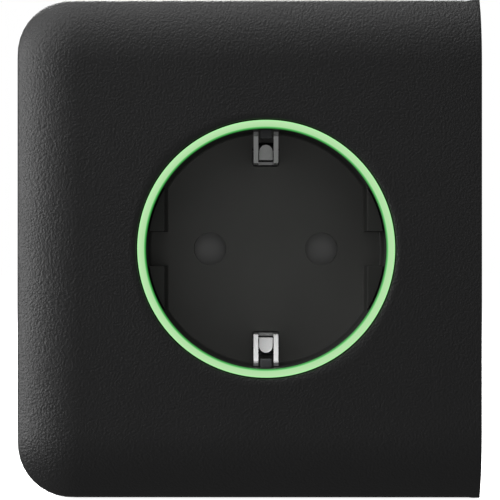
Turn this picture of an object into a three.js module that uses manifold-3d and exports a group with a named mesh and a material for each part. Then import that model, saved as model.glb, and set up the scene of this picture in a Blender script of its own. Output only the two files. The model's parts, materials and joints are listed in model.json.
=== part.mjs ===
// A flush-mounted smart socket-outlet, the left-hand end module of a multi-gang group.
// Millimetres, +Z up. The plug's axis is Y: the wall's surface is y = 0 and the front faces -Y.
import * as THREE from 'three';
import { mergeVertices } from 'three/addons/utils/BufferGeometryUtils.js';
import Module from 'manifold-3d';

const wasm = await Module();
wasm.setup();

// ---------------------------------------------------------------- driving dimensions

const GAP = 0.3; // room left between pieces that rest on each other
const EPS = 0.1; // how far a cutter runs past the face that it opens
const HOLE_ROOM = 0.2; // how much wider a screw's clearance hole is than its shank, all round
const FINE = 56; // sides on the large round walls
const ROUND = 40; // sides on the other large rounds
const FAR = 60; // a cutter's size where only one of its faces matters

const cover = {
  half: 40.8, // centre to the top, left and bottom edges
  right: 35.0, // centre to the straight cut on the right
  corner: 8.7, // corner radius, seen from the front
  cornerLoss: 0.45, // how much the corner radius shrinks for each millimetre of inset
  front: -10.5,
  back: -0.3,
  rollWidth: 10.0, // the rounded border's width
  rollDrop: 3.2, // how far the border falls back
  plate: 2.4,
  wall: 2.2,
  cutWall: 1.4,
  hole: 21.3,
  armX: 20.0,
  armHalfWidth: 3.0,
  armThickness: 1.4,
};

const ring = {
  face: -10.6,
  outer: 21.0,
  faceInner: 19.85,
  bore: 19.5,
  chamferEnd: -9.9,
  boreEnd: -6.6,
  skirt: 20.7, // the wider bore that clears the well's tube
  flange: 23.0,
  flangeFront: -7.7,
  flangeBack: -5.6,
};

const well = {
  bore: 19.5,
  outer: 20.3,
  mouth: -6.2,
  floor: 7.0,
  back: 9.0,
  flat: 16.57, // centre to each side flat
  flatFront: -9.0,
  flatRadius: 19.25,
  notchHalf: 2.85,
  pinX: 9.5,
  pinHole: 2.75,
  slotHalf: 2.3,
  slotInner: 14.0,
  slotOuter: 16.9,
  slotCorner: 0.6,
  tongueSlotHalf: 1.45,
  tongueSlotOuter: 18.1,
  wallSlotFront: -6.3,
  shoulder: 21.2,
  shoulderFront: -2.9,
  shoulderBack: -1.6,
  flange: 24.7,
  flangeFront: 0.3,
  flangeBack: 2.3,
  flangeHalfX: 20.7,
  screwHole: [0, 3], // depths between which the body screws pass its flange
  post: 1.5,
  postEnd: 11.9,
};

const ledBoard = { inner: 20.6, outer: 26.8, front: -4.4, back: -3.2 };
const led = { count: 6, radius: 22.0, width: 3.0, depth: 1.8, front: -5.25, back: -4.5 };
const ribbon = { x: 7.8, z: 21.4, halfWidth: 1.6, thickness: 0.4, front: -2.9, back: 27.6 };

const strap = {
  half: 34.6,
  corner: 4.0,
  front: -1.2,
  back: 0,
  hole: 21.5,
  recess: 30.4, // radius of the shallow recess over the wall box
  recessDepth: 0.3,
  keyhole: 30.0, // centre to the wall-box screw slots
  keyholeRadius: 2.1,
  keyholeHalf: 3.2,
  sideSlotZ: 12.0, // height of the slots on each side, above and below the claw screw
  earX: 24.2,
  earInner: 5.4,
  earOuter: 6.4,
  earHalf: 1.6,
  earEnd: 4.6,
};

const strapCut = [strap.front - EPS, strap.back + EPS];

const bodyScrew = { at: 16.4, shank: 1.0, tip: 9.5, head: 1.9, headFront: -2.7, headBack: -1.5 };

const claw = {
  pivotY: 2.8,
  pin: 1.0,
  pinRoom: 0.15,
  pinHalf: 6.3,
  barrel: 1.5,
  half: 4.8,
  inner: 23.1,
  outer: 24.9,
  end: 24.0,
  forkStart: 5.8,
  fork: 2.2,
  forkEnd: 15.0,
  toothStart: 19.0,
  tooth: [22.0, 22.8],
  tip: 26.6,
};
const clawScrew = { x: 28.0, shank: 1.25, tip: 12.0, head: 1.9, headFront: -2.5, headBack: -1.5 };

const shutter = {
  front: 9.3,
  back: 11.1,
  hub: 3.2,
  bore: 1.65,
  armHalf: 2.3,
  lobe: 3.1,
  rampDegrees: 9,
  armFront: 10.3,
};
const spring = { inner: 1.8, outer: 2.3, front: 11.25, back: 11.75, legEnd: 7.0, legHalf: 0.25 };

const earth = {
  sheet: 0.5,
  half: 2.05,
  legInner: 1.27,
  tongueHalf: 1.17,
  tongueEnd: 17.35,
  barFront: 12.1,
  barBack: 12.9,
  barHalf: 3.0,
  barEnd: 17.0,
  barHole: 1.9,
  // side-view paths of [y, z] points: the fork's foot, its two legs and the tongue
  footPath: [[12.9, 16.4], [9.8, 16.2], [7.2, 14.5], [6.0, 14.5]],
  legPath: [[6.3, 14.5], [-1.5, 14.5], [-4.2, 18.8], [-6.0, 19.0]],
  tonguePath: [[11.0, 17.6], [6.0, 17.2], [0.4, 15.1], [-1.25, 17.75]],
  tongueBend: 0.8, // depth of the tongue's bend; its rounded tip is in front of it
};

const carrier = { front: 13.2, back: 25.8, halfX: 16.0, halfZ: 6.5, pocketX: 4.3, pocketZ: 4.9 };
const contact = {
  baseFront: 26.7,
  baseBack: 27.5,
  halfX: 3.3,
  halfZ: 2.1,
  tabHalf: 0.9,
  tabThickness: 0.8,
  tabEnd: 28.3,
  leafFront: 14.4,
  leafBack: 26.4,
  leafGap: 2.28, // pin axis to each leaf's inner face
  leaf: 0.7,
  lead: 0.6, // how far the front end flares outwards
  leadLength: 2.0,
};

const housing = {
  outer: 26.5,
  inner: 25.0,
  flat: 22.5,
  flatWall: 1.5,
  front: 0.3,
  back: 38.0,
  plate: 1.8,
  boss: 2.3,
  bossFront: 2.6,
  bossBack: 12.0,
  bossHole: 1.15,
};

const board = {
  front: 28.6,
  back: 30.2,
  radius: 24.5,
  halfX: 20.6,
  bottom: -6.9,
  notch: [2.5, 15.6],
  notchTop: -5.9,
};

// Electronic parts: a block's [x0, x1, y0, y1, z0, z1], or a can's radius, ends and place.
const parts = {
  relay: [-10, 10, 13.2, 28.2, 8.6, 18.6],
  transformer: [-14, -4, 30.5, 35.7, 6.5, 16.5],
  radioBoard: [1.6, 13.4, 30.5, 31.1, 5.0, 20.0],
  shield: [2.6, 12.4, 31.2, 33.4, 6.0, 15.5],
  shieldWall: 0.4,
  inputCapacitor: [2.6, -15, -4.5, [0, 33.2, 2.4]],
  outputCapacitor: [2.2, 2, 10.5, [0, 32.8, 1.6]],
  varistor: [3.6, -16.2, -13.2, [0, 24.3, 12.4]],
  fuse: [2, 17.5, 28.2, [14.2, 0, 12.6]],
};
const connector = { halfX: 2.4, halfZ: 1.1, front: 25.8, room: 0.1 };

const terminal = {
  pitch: 8.5,
  front: 28.6,
  back: 35.2,
  blockFront: 28.3,
  blockBack: 35.6,
  blockHalfX: 13.8,
  blockTop: -7.2,
  blockBottom: -17.4,
  pocketHalf: 3.7,
  cageHalf: 3.4,
  cageTop: -8.0,
  cageBottom: -16.4,
  cageWall: 0.8,
  cageFoot: 1.6,
  clampHalf: 2.3,
  clampTop: -13.6,
  clampThickness: 0.8,
  clampInset: 0.5,
  screwShank: 1.5,
  screwThread: 1.85,
  screwHead: 2.5,
  headTop: -20.7,
  headBottom: -22.3,
  access: 3.0,
  accessTop: -20.0,
  wireHole: 1.9,
  wireZ: -11.1,
};
const terminalY = (terminal.front + terminal.back) / 2;
const terminalX = [-terminal.pitch, 0, terminal.pitch];

const busbar = { front: 27.1, back: 27.9, half: 1.5, bottom: -13, top: -3.2, sheet: 0.8, reach: -7.2 };

const slot = { width: 0.8, depth: 0.7 }; // every screw's driver slot

// ---------------------------------------------------------------- solids

const AXIS_TURN = {
  x: new THREE.Euler(0, 0, -Math.PI / 2),
  y: new THREE.Euler(),
  z: new THREE.Euler(Math.PI / 2, 0, 0),
};

function solid(geometry) {
  const bare = geometry.index ? geometry.toNonIndexed() : geometry;
  for (const name of ['normal', 'uv']) bare.deleteAttribute(name);
  const merged = mergeVertices(bare);
  const corners = merged.index.array;
  const faces = [];
  for (let i = 0; i < corners.length; i += 3) {
    const [a, b, c] = corners.slice(i, i + 3);
    if (a !== b && b !== c && c !== a) faces.push(a, b, c);
  }
  const vertProperties = merged.attributes.position.array;
  return new wasm.Manifold(new wasm.Mesh({ numProp: 3, vertProperties, triVerts: new Uint32Array(faces) }));
}

function box(x0, x1, y0, y1, z0, z1) {
  const geometry = new THREE.BoxGeometry(x1 - x0, y1 - y0, z1 - z0);
  return solid(geometry.translate((x0 + x1) / 2, (y0 + y1) / 2, (z0 + z1) / 2));
}

// A round bar along an axis, from one coordinate on it to another, through the point [x, y, z].
function rod(axis, radius, from, to, [x, y, z] = [0, 0, 0], segments = 24) {
  const geometry = new THREE.CylinderGeometry(radius, radius, to - from, segments);
  geometry.rotateX(AXIS_TURN[axis].x).rotateZ(AXIS_TURN[axis].z);
  const middle = { x, y, z, [axis]: (from + to) / 2 };
  return solid(geometry.translate(middle.x, middle.y, middle.z));
}

// A closed profile of [radius, y] points turned about the plug's axis.
function turned(profile, segments = FINE) {
  const points = [...profile, profile[0]].map(([r, y]) => new THREE.Vector2(r, y));
  return solid(new THREE.LatheGeometry(points, segments));
}

function outline(points) {
  return new THREE.Shape(points.map(([u, v]) => new THREE.Vector2(u, v)));
}

// A front-view outline (x, z) made into a slab between two depths.
function slab(shape, front, back, curveSegments = 6) {
  const depth = back - front;
  const geometry = new THREE.ExtrudeGeometry(shape, { depth, bevelEnabled: false, curveSegments });
  return solid(geometry.rotateX(Math.PI / 2).translate(0, back, 0));
}

// A plan-view outline (x, y) made into a bar between two heights.
function bar(points, bottom, top) {
  const geometry = new THREE.ExtrudeGeometry(outline(points), { depth: top - bottom, bevelEnabled: false });
  return solid(geometry.translate(0, 0, bottom));
}

// A side-view outline (y, z) made into a strip between two x values.
function sideBar(points, left, right) {
  const geometry = new THREE.ExtrudeGeometry(outline(points), { depth: right - left, bevelEnabled: false });
  const [x, y, z] = [new THREE.Vector3(1, 0, 0), new THREE.Vector3(0, 1, 0), new THREE.Vector3(0, 0, 1)];
  geometry.applyMatrix4(new THREE.Matrix4().makeBasis(y, z, x));
  return solid(geometry.translate(left, 0, 0));
}

// Sheet metal bent along a side-view path of [y, z] points.
function bentSheet(path, sheet, left, right) {
  const points = path.map(([y, z]) => new THREE.Vector2(y, z));
  const normals = points.slice(1).map((p, i) => {
    const along = p.clone().sub(points[i]).normalize();
    return new THREE.Vector2(-along.y, along.x);
  });
  const side = points.map((p, i) => {
    const before = normals[Math.max(i - 1, 0)];
    const after = normals[Math.min(i, normals.length - 1)];
    const mitre = before.clone().add(after).normalize();
    return mitre.multiplyScalar(sheet / 2 / mitre.dot(after));
  });
  const upper = points.map((p, i) => [p.x + side[i].x, p.y + side[i].y]);
  const lower = points.map((p, i) => [p.x - side[i].x, p.y - side[i].y]);
  return sideBar([...lower, ...upper.reverse()], left, right);
}

function roundedRect(halfX, halfZ, radius) {
  const shape = new THREE.Shape();
  const [x, z] = [halfX - radius, halfZ - radius];
  shape.absarc(x, z, radius, 0, Math.PI / 2);
  shape.absarc(-x, z, radius, Math.PI / 2, Math.PI);
  shape.absarc(-x, -z, radius, Math.PI, 1.5 * Math.PI);
  shape.absarc(x, -z, radius, 1.5 * Math.PI, 2 * Math.PI);
  return shape;
}

// Closes a stack of equal rings of points, listed from back to front, into one body.
function loft(rings) {
  const size = rings[0].length;
  const centre = (points) => points.reduce((sum, p) => sum.add(p), new THREE.Vector3()).divideScalar(size);
  const triangles = [];
  for (let k = 0; k + 1 < rings.length; k += 1) {
    for (let i = 0; i < size; i += 1) {
      const j = (i + 1) % size;
      const [a, b, c, d] = [rings[k][i], rings[k][j], rings[k + 1][j], rings[k + 1][i]];
      triangles.push(a, b, c, a, c, d);
    }
  }
  const [first, last] = [rings[0], rings.at(-1)];
  const [firstCentre, lastCentre] = [centre(first), centre(last)];
  for (let i = 0; i < size; i += 1) {
    const j = (i + 1) % size;
    triangles.push(firstCentre, first[j], first[i], lastCentre, last[i], last[j]);
  }
  return solid(new THREE.BufferGeometry().setFromPoints(triangles));
}

function turnHalf(body) {
  return body.rotate([0, 180, 0]);
}

function join(...bodies) {
  return bodies.reduce((whole, body) => whole.add(body));
}

function cut(body, ...cutters) {
  return cutters.reduce((rest, cutter) => rest.subtract(cutter), body);
}

// ---------------------------------------------------------------- front

function coverOutline(inset, y) {
  const radius = cover.corner - inset * cover.cornerLoss;
  const shape = roundedRect(cover.half - inset, cover.half - inset, radius);
  const points = shape.extractPoints(8).shape;
  return points.slice(0, -1).map((p) => new THREE.Vector3(p.x, y, p.y));
}

function coverPlate() {
  const rings = [coverOutline(0, cover.back)];
  const steps = 6;
  for (let k = 0; k <= steps; k += 1) {
    const turn = (k / steps) * (Math.PI / 2);
    const inset = cover.rollWidth * (1 - Math.cos(turn));
    rings.push(coverOutline(inset, cover.front + cover.rollDrop * (1 - Math.sin(turn))));
  }
  const inner = cover.half - cover.wall;
  const hollow = slab(roundedRect(inner, inner, cover.corner - cover.wall), cover.front + cover.plate, EPS)
    .intersect(box(-FAR, cover.right - cover.cutWall, -FAR, FAR, -FAR, FAR));
  const arms = [-1, 1].flatMap((side) => [-1, 1].map((end) => {
    const [near, far] = [strap.half + GAP, strap.half + GAP + cover.armThickness].map((z) => end * z);
    const x = side * cover.armX;
    return box(x - cover.armHalfWidth, x + cover.armHalfWidth, cover.front + cover.plate - GAP,
      cover.back - GAP, Math.min(near, far), Math.max(near, far));
  }));
  const shell = cut(
    loft(rings),
    box(cover.right, FAR, -FAR, FAR, -FAR, FAR),
    hollow,
    rod('y', cover.hole, cover.front - EPS, 0, [0, 0, 0], FINE),
    box(cover.right - cover.cutWall - EPS, FAR, strap.front - GAP, FAR, -FAR, FAR),
  );
  return join(shell, ...arms);
}

function lightRing() {
  return turned([
    [ring.faceInner, ring.face],
    [ring.outer, ring.face],
    [ring.outer, ring.flangeFront],
    [ring.flange, ring.flangeFront],
    [ring.flange, ring.flangeBack],
    [ring.skirt, ring.flangeBack],
    [ring.skirt, ring.boreEnd],
    [ring.bore, ring.boreEnd],
    [ring.bore, ring.chamferEnd],
  ]);
}

// Opens a passage for the ribbon through a ring-shaped piece.
function ribbonPassage(front, back) {
  const reach = ribbon.halfWidth + GAP;
  return box(ribbon.x - reach, ribbon.x + reach, front - EPS, back + EPS,
    ribbon.z - ribbon.thickness / 2 - GAP, ribbon.z + ribbon.thickness / 2 + GAP);
}

function screwPlaces() {
  return [-1, 1].flatMap((sx) => [-1, 1].map((sz) => [sx * bodyScrew.at, sz * bodyScrew.at]));
}

function earthSlot() {
  const narrow = box(-well.tongueSlotHalf, well.tongueSlotHalf, well.floor - EPS, well.back + EPS,
    well.slotOuter - EPS, well.tongueSlotOuter);
  const half = (well.slotOuter + well.slotCorner - well.slotInner) / 2;
  const wide = slab(roundedRect(well.slotHalf, half, well.slotCorner), well.floor - EPS, well.back + EPS, 4)
    .translate([0, 0, well.slotInner + half]);
  const wall = box(-well.slotHalf, well.slotHalf, well.wallSlotFront, well.floor,
    well.slotOuter, well.shoulder + EPS);
  return join(wide, narrow, wall);
}

function socketWell() {
  const bore = rod('y', well.bore, well.mouth - EPS, well.floor, [0, 0, 0], FINE);
  const cavity = join(
    bore.intersect(box(-well.flat, well.flat, -FAR, FAR, -FAR, FAR)),
    bore.intersect(box(-FAR, FAR, -FAR, FAR, -well.notchHalf, well.notchHalf)),
  );
  const flats = cut(
    rod('y', well.flatRadius, well.flatFront, well.mouth + EPS, [0, 0, 0], FINE),
    box(-well.flat, well.flat, -FAR, FAR, -FAR, FAR),
    box(-FAR, FAR, -FAR, FAR, -well.notchHalf, well.notchHalf),
  );
  const flange = rod('y', well.flange, well.flangeFront, well.flangeBack, [0, 0, 0], FINE)
    .intersect(box(-well.flangeHalfX, well.flangeHalfX, -FAR, FAR, -FAR, FAR));
  const tube = join(
    rod('y', well.outer, well.mouth, well.back, [0, 0, 0], FINE),
    rod('y', well.shoulder, well.shoulderFront, well.shoulderBack, [0, 0, 0], FINE),
    flange,
    rod('y', well.post, well.back - EPS, well.postEnd),
  );
  return join(cut(
    tube,
    cavity,
    earthSlot(),
    turnHalf(earthSlot()),
    ...[-1, 1].map((side) => rod('y', well.pinHole, well.floor - EPS, well.back + EPS,
      [side * well.pinX, 0, 0], ROUND)),
    ...screwPlaces().map(([x, z]) => rod('y', bodyScrew.shank + HOLE_ROOM, ...well.screwHole, [x, 0, z], 16)),
    ribbonPassage(well.flangeFront, well.flangeBack),
  ), flats);
}

function ledRing() {
  return turned([
    [ledBoard.inner, ledBoard.back],
    [ledBoard.inner, ledBoard.front],
    [ledBoard.outer, ledBoard.front],
    [ledBoard.outer, ledBoard.back],
  ], ROUND);
}

function ledChip() {
  const [halfX, halfZ] = [led.width / 2, led.depth / 2];
  return box(-halfX, halfX, led.front, led.back, led.radius - halfZ, led.radius + halfZ);
}

// ---------------------------------------------------------------- strap, screws and claws

// A slot for a wall-box screw, about the point [x, z]: level above and below the socket, upright beside it.
function keyhole(x, z) {
  const [alongX, alongZ] = x ? [0, strap.keyholeHalf] : [strap.keyholeHalf, 0];
  const [halfX, halfZ] = x
    ? [strap.keyholeRadius, strap.keyholeHalf]
    : [strap.keyholeHalf, strap.keyholeRadius];
  return join(
    rod('y', strap.keyholeRadius, ...strapCut, [x - alongX, 0, z - alongZ], 20),
    rod('y', strap.keyholeRadius, ...strapCut, [x + alongX, 0, z + alongZ], 20),
    box(x - halfX, x + halfX, ...strapCut, z - halfZ, z + halfZ),
  );
}

// A lug that carries one end of a claw's hinge pin; sx and sz say in which quarter.
function strapEar(sx, sz) {
  const [low, high] = [sz * strap.earInner, sz * strap.earOuter].sort((a, b) => a - b);
  const root = strap.back - strap.recessDepth - EPS;
  return cut(
    box(sx * strap.earX - strap.earHalf, sx * strap.earX + strap.earHalf, root, strap.earEnd, low, high),
    rod('z', claw.pin + claw.pinRoom, low - EPS, high + EPS, [sx * strap.earX, claw.pivotY, 0], 20),
  );
}

function mountingStrap() {
  const plate = slab(roundedRect(strap.half, strap.half, strap.corner), strap.front, strap.back);
  return join(cut(
    plate,
    rod('y', strap.recess, strap.back - strap.recessDepth, strap.back + EPS, [0, 0, 0], FINE),
    rod('y', strap.hole, ...strapCut, [0, 0, 0], FINE),
    keyhole(0, strap.keyhole),
    keyhole(0, -strap.keyhole),
    keyhole(strap.keyhole, strap.sideSlotZ),
    keyhole(strap.keyhole, -strap.sideSlotZ),
    keyhole(-strap.keyhole, strap.sideSlotZ),
    keyhole(-strap.keyhole, -strap.sideSlotZ),
    ribbonPassage(strap.front, strap.back),
    ...[-1, 1].map((side) => rod('y', clawScrew.shank + GAP, ...strapCut, [side * clawScrew.x, 0, 0], 20)),
    ...screwPlaces().map(([x, z]) => rod('y', bodyScrew.shank + HOLE_ROOM, ...strapCut, [x, 0, z], 16)),
  ), strapEar(1, 1), strapEar(1, -1), strapEar(-1, 1), strapEar(-1, -1));
}

// A slotted screw along Y at the origin's x and z.
function screwAlongY({ shank, tip, head, headFront, headBack }) {
  return cut(
    join(
      rod('y', head, headFront, headBack, [0, 0, 0], 20),
      rod('y', shank, headBack - EPS, tip, [0, 0, 0], 16),
    ),
    box(-FAR, FAR, headFront - EPS, headFront + slot.depth, -slot.width / 2, slot.width / 2),
  );
}

// The right-hand claw: a forked arm on a hinge pin, with a toothed end that bites outwards.
function clawArm() {
  const side = [
    [claw.inner, claw.pivotY],
    [claw.outer, claw.pivotY],
    [claw.outer, claw.toothStart],
    [claw.tip, claw.tooth[0]],
    [claw.tip, claw.tooth[1]],
    [claw.outer, claw.end],
    [claw.inner, claw.end],
  ];
  return cut(
    join(
      bar(side, -claw.half, claw.half),
      rod('z', claw.barrel, -claw.half, claw.half, [strap.earX, claw.pivotY, 0], 24),
      rod('z', claw.pin, -claw.pinHalf, claw.pinHalf, [strap.earX, claw.pivotY, 0], 16),
    ),
    box(claw.inner - claw.barrel, FAR, claw.forkStart, claw.forkEnd, -claw.fork, claw.fork),
  );
}

// ---------------------------------------------------------------- shutter and contacts

function shutterRotor() {
  const lobe = (side) => rod('y', shutter.lobe, shutter.front, shutter.back, [side * well.pinX, 0, 0], 32);
  const slope = THREE.MathUtils.degToRad(shutter.rampDegrees);
  const size = 3 * shutter.lobe;
  const ramp = solid(new THREE.BoxGeometry(size, size, size)
    .translate(0, -size / 2, 0)
    .rotateZ(slope)
    .translate(well.pinX, shutter.front + shutter.lobe * Math.tan(slope), 0));
  return cut(
    join(
      rod('y', shutter.hub, shutter.front, shutter.back, [0, 0, 0], 28),
      cut(lobe(1), ramp),
      cut(lobe(-1), turnHalf(ramp)),
      box(-well.pinX, well.pinX, shutter.armFront, shutter.back, -shutter.armHalf, shutter.armHalf),
    ),
    rod('y', shutter.bore, shutter.front - EPS, shutter.back + EPS, [0, 0, 0], 24),
  );
}

function shutterSpring() {
  return join(
    turned([
      [spring.inner, spring.back],
      [spring.inner, spring.front],
      [spring.outer, spring.front],
      [spring.outer, spring.back],
    ], 28),
    box(spring.outer - EPS, spring.legEnd, spring.front, spring.back, -spring.legHalf, spring.legHalf),
  );
}

function earthFork() {
  return join(
    bentSheet(earth.footPath, earth.sheet, -earth.half, earth.half),
    bentSheet(earth.legPath, earth.sheet, earth.legInner, earth.half),
    bentSheet(earth.legPath, earth.sheet, -earth.half, -earth.legInner),
  );
}

function earthBracket() {
  const across = box(-earth.barHalf, earth.barHalf, earth.barFront, earth.barBack,
    -earth.barEnd, earth.barEnd);
  return cut(
    join(across, earthFork(), turnHalf(earthFork())),
    rod('y', earth.barHole, earth.barFront - EPS, earth.barBack + EPS),
  );
}

function earthTongue() {
  const straight = earth.tongueEnd - earth.tongueHalf;
  const plan = new THREE.Shape();
  plan.moveTo(-earth.tongueHalf, 0);
  plan.lineTo(earth.tongueHalf, 0);
  plan.lineTo(earth.tongueHalf, straight);
  plan.absarc(0, straight, earth.tongueHalf, 0, Math.PI);
  const tip = slab(plan, -FAR, earth.tongueBend, 12);
  const root = box(-FAR, FAR, earth.tongueBend - EPS, FAR, 0, FAR);
  const strip = bentSheet(earth.tonguePath, earth.sheet, -earth.tongueHalf, earth.tongueHalf);
  return strip.intersect(join(tip, root));
}

function contactCarrier() {
  const pocket = (x) => box(x - carrier.pocketX, x + carrier.pocketX, carrier.front - EPS, carrier.back + EPS,
    -carrier.pocketZ, carrier.pocketZ);
  return cut(
    box(-carrier.halfX, carrier.halfX, carrier.front, carrier.back, -carrier.halfZ, carrier.halfZ),
    pocket(well.pinX),
    pocket(-well.pinX),
  );
}

// A contact's bridge, with the tab that is soldered to the board, at the origin's x.
function contactBridge() {
  return join(
    box(-contact.halfX, contact.halfX, contact.baseFront, contact.baseBack, -contact.halfZ, contact.halfZ),
    box(-contact.tabHalf, contact.tabHalf, contact.baseBack - EPS, contact.tabEnd,
      -contact.tabThickness / 2, contact.tabThickness / 2),
  );
}

// The leaf on the +X side of a pin, at the origin's x.
function contactLeaf() {
  const [near, far] = [contact.leafGap, contact.leafGap + contact.leaf];
  return bar([
    [near + contact.lead, contact.leafFront],
    [far + contact.lead, contact.leafFront],
    [far, contact.leafFront + contact.leadLength],
    [far, contact.leafBack],
    [near, contact.leafBack],
    [near, contact.leafFront + contact.leadLength],
  ], -contact.halfZ, contact.halfZ);
}

// ---------------------------------------------------------------- rear housing and electronics

function housingForm(radius, flat, front, back) {
  return rod('y', radius, front, back, [0, 0, 0], ROUND).intersect(box(-flat, flat, -FAR, FAR, -FAR, FAR));
}

function rearHousing() {
  const shell = cut(
    housingForm(housing.outer, housing.flat, housing.front, housing.back),
    housingForm(housing.inner, housing.flat - housing.flatWall, housing.front - EPS,
      housing.back - housing.plate),
  );
  const bosses = screwPlaces().map(([x, z]) => cut(
    rod('y', housing.boss, housing.bossFront, housing.bossBack, [x, 0, z], 20),
    rod('y', housing.bossHole, housing.bossFront - EPS, housing.bossBack + EPS, [x, 0, z], 16),
  ));
  return cut(
    join(shell, ...bosses),
    ...terminalX.map((x) => rod('z', terminal.access, -FAR, terminal.accessTop, [x, terminalY, 0], 24)),
    ...terminalX.map((x) => rod('y', terminal.wireHole, housing.back - housing.plate - EPS,
      housing.back + EPS, [x, 0, terminal.wireZ], 20)),
  );
}

function mainBoard() {
  return cut(
    rod('y', board.radius, board.front, board.back, [0, 0, 0], 48)
      .intersect(box(-board.halfX, board.halfX, -FAR, FAR, board.bottom, FAR)),
    box(...board.notch, -FAR, FAR, -FAR, board.notchTop),
  );
}

function radioShield() {
  const [x0, x1, y0, y1, z0, z1] = parts.shield;
  const wall = parts.shieldWall;
  return cut(
    box(...parts.shield),
    box(x0 + wall, x1 - wall, y0 - EPS, y1 - wall, z0 + wall, z1 - wall),
  );
}

function ribbonConnector() {
  const reach = ribbon.halfWidth + GAP;
  const half = ribbon.thickness / 2 + connector.room;
  return cut(
    box(ribbon.x - connector.halfX, ribbon.x + connector.halfX, connector.front, board.front - GAP,
      ribbon.z - connector.halfZ, ribbon.z + connector.halfZ),
    box(ribbon.x - reach, ribbon.x + reach, connector.front - EPS, ribbon.back + connector.room,
      ribbon.z - half, ribbon.z + half),
  );
}

// A flat bar from a terminal up to the board.
function boardBusbar(x) {
  return box(x - busbar.half, x + busbar.half, busbar.front, busbar.back, busbar.bottom, busbar.top);
}

// The earth bar: up from the middle terminal, then forward under the contact carrier to the bracket.
function earthBusbar() {
  return sideBar([
    [busbar.front, busbar.bottom],
    [busbar.back, busbar.bottom],
    [busbar.back, busbar.reach],
    [earth.barBack + GAP, busbar.reach],
    [earth.barBack + GAP, busbar.reach - busbar.sheet],
    [busbar.front, busbar.reach - busbar.sheet],
  ], -busbar.half, busbar.half);
}

function terminalBlock() {
  const top = terminal.cageTop + GAP;
  const bottom = terminal.cageBottom - GAP;
  return cut(
    box(-terminal.blockHalfX, terminal.blockHalfX, terminal.blockFront, terminal.blockBack,
      terminal.blockBottom, terminal.blockTop),
    ...terminalX.map((x) => box(x - terminal.pocketHalf, x + terminal.pocketHalf, terminal.blockFront - EPS,
      terminal.blockBack + EPS, bottom, top)),
    ...terminalX.map((x) => rod('z', terminal.screwThread, terminal.blockBottom - EPS, bottom + EPS,
      [x, terminalY, 0])),
  );
}

function terminalCage() {
  const inner = terminal.cageHalf - terminal.cageWall;
  return cut(
    box(-terminal.cageHalf, terminal.cageHalf, terminal.front, terminal.back,
      terminal.cageBottom, terminal.cageTop),
    box(-inner, inner, terminal.front - EPS, terminal.back + EPS, terminal.cageBottom + terminal.cageFoot,
      terminal.cageTop - terminal.cageWall),
    rod('z', terminal.screwThread, terminal.cageBottom - EPS, terminal.cageBottom + terminal.cageFoot + EPS,
      [0, terminalY, 0]),
  );
}

function clampPlate() {
  return box(-terminal.clampHalf, terminal.clampHalf, terminal.front + terminal.clampInset,
    terminal.back - terminal.clampInset, terminal.clampTop - terminal.clampThickness, terminal.clampTop);
}

function terminalScrew() {
  const under = terminal.clampTop - terminal.clampThickness - GAP;
  return cut(
    join(
      rod('z', terminal.screwShank, terminal.headTop - EPS, under, [0, terminalY, 0], 20),
      rod('z', terminal.screwHead, terminal.headBottom, terminal.headTop, [0, terminalY, 0], 24),
    ),
    box(-FAR, FAR, terminalY - slot.width / 2, terminalY + slot.width / 2,
      terminal.headBottom - EPS, terminal.headBottom + slot.depth),
  );
}

// ---------------------------------------------------------------- materials and assembly

const finish = {
  mattBlack: { color: 0x222222, roughness: 0.6, metalness: 0 },
  black: { color: 0x1a1a1a, roughness: 0.5, metalness: 0 },
  grey: { color: 0x55585c, roughness: 0.6, metalness: 0 },
  glow: { color: 0xb4e8a8, roughness: 0.4, metalness: 0 },
  steel: { color: 0xb8bcc0, roughness: 0.35, metalness: 1 },
  brass: { color: 0xc9a75a, roughness: 0.35, metalness: 1 },
  board: { color: 0x1c5a36, roughness: 0.5, metalness: 0 },
  white: { color: 0xe8e8e0, roughness: 0.5, metalness: 0 },
  blue: { color: 0x27528c, roughness: 0.5, metalness: 0 },
};

const socket = new THREE.Group();

function place(name, body, look, parent = socket) {
  const mesh = body.getMesh();
  const geometry = new THREE.BufferGeometry();
  geometry.setAttribute('position', new THREE.BufferAttribute(new Float32Array(mesh.vertProperties), 3));
  geometry.setIndex(new THREE.BufferAttribute(new Uint32Array(mesh.triVerts), 1));
  geometry.computeVertexNormals();
  const piece = new THREE.Mesh(geometry, new THREE.MeshStandardMaterial(look));
  piece.name = name;
  parent.add(piece);
  return piece;
}

function buildFront() {
  place('cover_plate', coverPlate(), finish.mattBlack);
  place('light_ring', lightRing(), finish.glow);
  place('socket_well', socketWell(), finish.black);
  place('led_board', ledRing(), finish.white);
  for (let k = 0; k < led.count; k += 1) {
    const chip = place(`led_${k + 1}`, ledChip(), finish.white);
    chip.rotation.y = ((k + 0.5) / led.count) * 2 * Math.PI;
  }
  place('led_ribbon', box(ribbon.x - ribbon.halfWidth, ribbon.x + ribbon.halfWidth, ribbon.front, ribbon.back,
    ribbon.z - ribbon.thickness / 2, ribbon.z + ribbon.thickness / 2), finish.white);
}

function buildFrame() {
  place('mounting_strap', mountingStrap(), finish.steel);
  screwPlaces().forEach(([x, z], k) => {
    place(`body_screw_${k + 1}`, screwAlongY(bodyScrew), finish.steel).position.set(x, 0, z);
  });
  for (const [name, turn] of [['right', 0], ['left', Math.PI]]) {
    const side = new THREE.Group();
    side.rotation.y = turn;
    socket.add(side);
    place(`claw_${name}`, clawArm(), finish.steel, side);
    place(`claw_screw_${name}`, screwAlongY(clawScrew), finish.steel, side).position.x = clawScrew.x;
  }
}

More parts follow.
